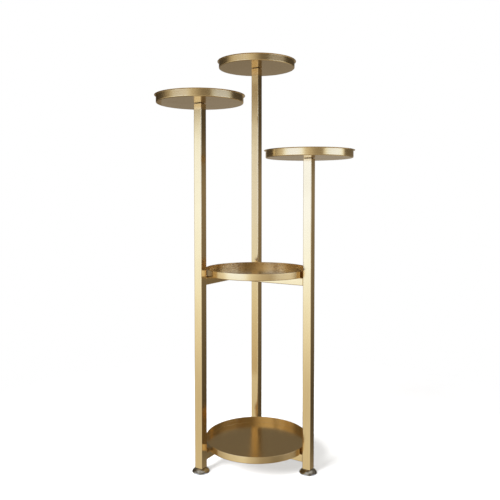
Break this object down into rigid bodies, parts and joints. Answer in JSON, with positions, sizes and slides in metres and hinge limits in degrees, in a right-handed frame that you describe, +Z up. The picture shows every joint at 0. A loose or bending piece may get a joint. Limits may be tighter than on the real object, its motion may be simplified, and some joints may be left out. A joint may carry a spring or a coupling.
{
  "type": "plant stand",
  "caption": "Tiered gold metal plant stand: square-tube posts at stepped heights, round trays on their tops, round shelf trays between them, levelling feet.",
  "frame": {"origin": "on the floor under the middle of the stand's bounding box", "axes": "+Z up, +X along the stems towards the right post, +Y along the crossbars from the left post to the rear"},
  "size_m": [0.4536, 0.492, 1.07],
  "materials": {
    "gold_finish": "satin metallic gold coat on steel",
    "chrome": "polished chrome plate",
    "zinc_steel": "bright zinc plate",
    "dark_pad": "matt dark nylon"
  },
  "bodies": {
    "stand": {"post_left": "gold_finish", "post_rear": "gold_finish", "post_right": "gold_finish", "crossbar_lower": "gold_finish", "crossbar_upper": "gold_finish", "stem_lower": "gold_finish", "stem_upper": "gold_finish", "tray_left": "gold_finish", "tray_rear": "gold_finish", "tray_right": "gold_finish", "shelf_lower": "gold_finish", "shelf_upper": "gold_finish", "top_plug_left": "zinc_steel", "top_plug_rear": "zinc_steel", "top_plug_right": "zinc_steel", "foot_insert_left": "zinc_steel", "foot_insert_rear": "zinc_steel", "foot_insert_right": "zinc_steel", "stem_plug_lower": "zinc_steel", "stem_plug_upper": "zinc_steel", "sleeve_lower": "zinc_steel", "sleeve_upper": "zinc_steel", "tray_studs": "zinc_steel", "shelf_studs": "zinc_steel", "shelf_nuts": "zinc_steel", "joint_bolts": "zinc_steel", "joint_washers": "zinc_steel", "tray_washers": "dark_pad"},
    "glide_left": {"foot_pad_left": "dark_pad"},
    "foot_left": {"foot_dome_left": "chrome", "foot_stud_left": "zinc_steel"},
    "glide_rear": {"foot_pad_rear": "dark_pad"},
    "foot_rear": {"foot_dome_rear": "chrome", "foot_stud_rear": "zinc_steel"},
    "glide_right": {"foot_pad_right": "dark_pad"},
    "foot_right": {"foot_dome_right": "chrome", "foot_stud_right": "zinc_steel"}
  },
  "joints": [
    {"name": "foot_lift_left", "type": "slide", "parent": "stand", "child": "glide_left", "axis": [0, 0, -1], "range_m": [0, 0.012]},
    {"name": "foot_turn_left", "type": "hinge", "parent": "glide_left", "child": "foot_left", "pos_m": [-0.1158, -0.13501, 0], "axis": [0, 0, -1], "range_deg": [0, 3450]},
    {"name": "foot_lift_rear", "type": "slide", "parent": "stand", "child": "glide_rear", "axis": [0, 0, -1], "range_m": [0, 0.012]},
    {"name": "foot_turn_rear", "type": "hinge", "parent": "glide_rear", "child": "foot_rear", "pos_m": [-0.1158, 0.13501, 0], "axis": [0, 0, -1], "range_deg": [0, 3450]},
    {"name": "foot_lift_right", "type": "slide", "parent": "stand", "child": "glide_right", "axis": [0, 0, -1], "range_m": [0, 0.012]},
    {"name": "foot_turn_right", "type": "hinge", "parent": "glide_right", "child": "foot_right", "pos_m": [0.1158, 0, 0], "axis": [0, 0, -1], "range_deg": [0, 3450]}
  ],
  "couplings": [
    {"joint": "foot_lift_left", "follows": "foot_turn_left", "m_per_rad": 0.00019894},
    {"joint": "foot_lift_rear", "follows": "foot_turn_rear", "m_per_rad": 0.00019894},
    {"joint": "foot_lift_right", "follows": "foot_turn_right", "m_per_rad": 0.00019894}
  ]
}
